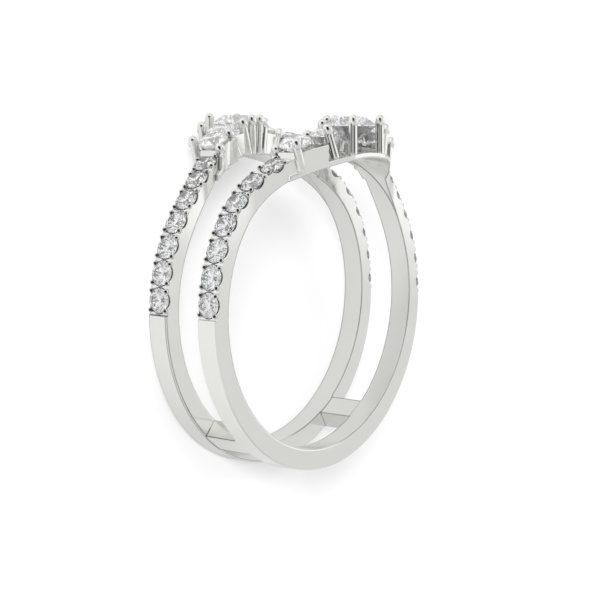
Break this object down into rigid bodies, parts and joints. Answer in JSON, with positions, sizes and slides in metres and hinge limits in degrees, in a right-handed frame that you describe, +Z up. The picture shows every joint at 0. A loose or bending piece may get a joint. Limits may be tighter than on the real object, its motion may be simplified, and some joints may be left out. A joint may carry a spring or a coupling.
{
  "type": "ring guard enhancer",
  "caption": "Ring guard with paired parallel bands joined at the bottom, outward-bowed heads of round stones in shared prongs and bead-set stones down the limbs.",
  "frame": {"origin": "centre of the finger hole, midway between the two bands", "axes": "+Y towards the crown, +X across the ring, +Z up from the surface that the ring lies on; the finger hole's axis leans 10 degrees from +Z towards -Y, because the ring rests on its lower head and the lower band's edge"},
  "size_m": [0.0196, 0.022, 0.0117],
  "materials": {
    "metal": "high polish white gold",
    "stone": "clear, brilliant cut"
  },
  "bodies": {
    "root": {"ring_frame": "metal", "head_a_1": "stone", "head_a_2": "stone", "head_a_3": "stone", "head_a_4": "stone", "head_a_5": "stone", "head_b_1": "stone", "head_b_2": "stone", "head_b_3": "stone", "head_b_4": "stone", "head_b_5": "stone", "pave_a_left_1": "stone", "pave_a_left_2": "stone", "pave_a_left_3": "stone", "pave_a_left_4": "stone", "pave_a_left_5": "stone", "pave_a_left_6": "stone", "pave_a_left_7": "stone", "pave_a_right_1": "stone", "pave_a_right_2": "stone", "pave_a_right_3": "stone", "pave_a_right_4": "stone", "pave_a_right_5": "stone", "pave_a_right_6": "stone", "pave_a_right_7": "stone", "pave_b_left_1": "stone", "pave_b_left_2": "stone", "pave_b_left_3": "stone", "pave_b_left_4": "stone", "pave_b_left_5": "stone", "pave_b_left_6": "stone", "pave_b_left_7": "stone", "pave_b_right_1": "stone", "pave_b_right_2": "stone", "pave_b_right_3": "stone", "pave_b_right_4": "stone", "pave_b_right_5": "stone", "pave_b_right_6": "stone", "pave_b_right_7": "stone"}
  },
  "joints": []
}
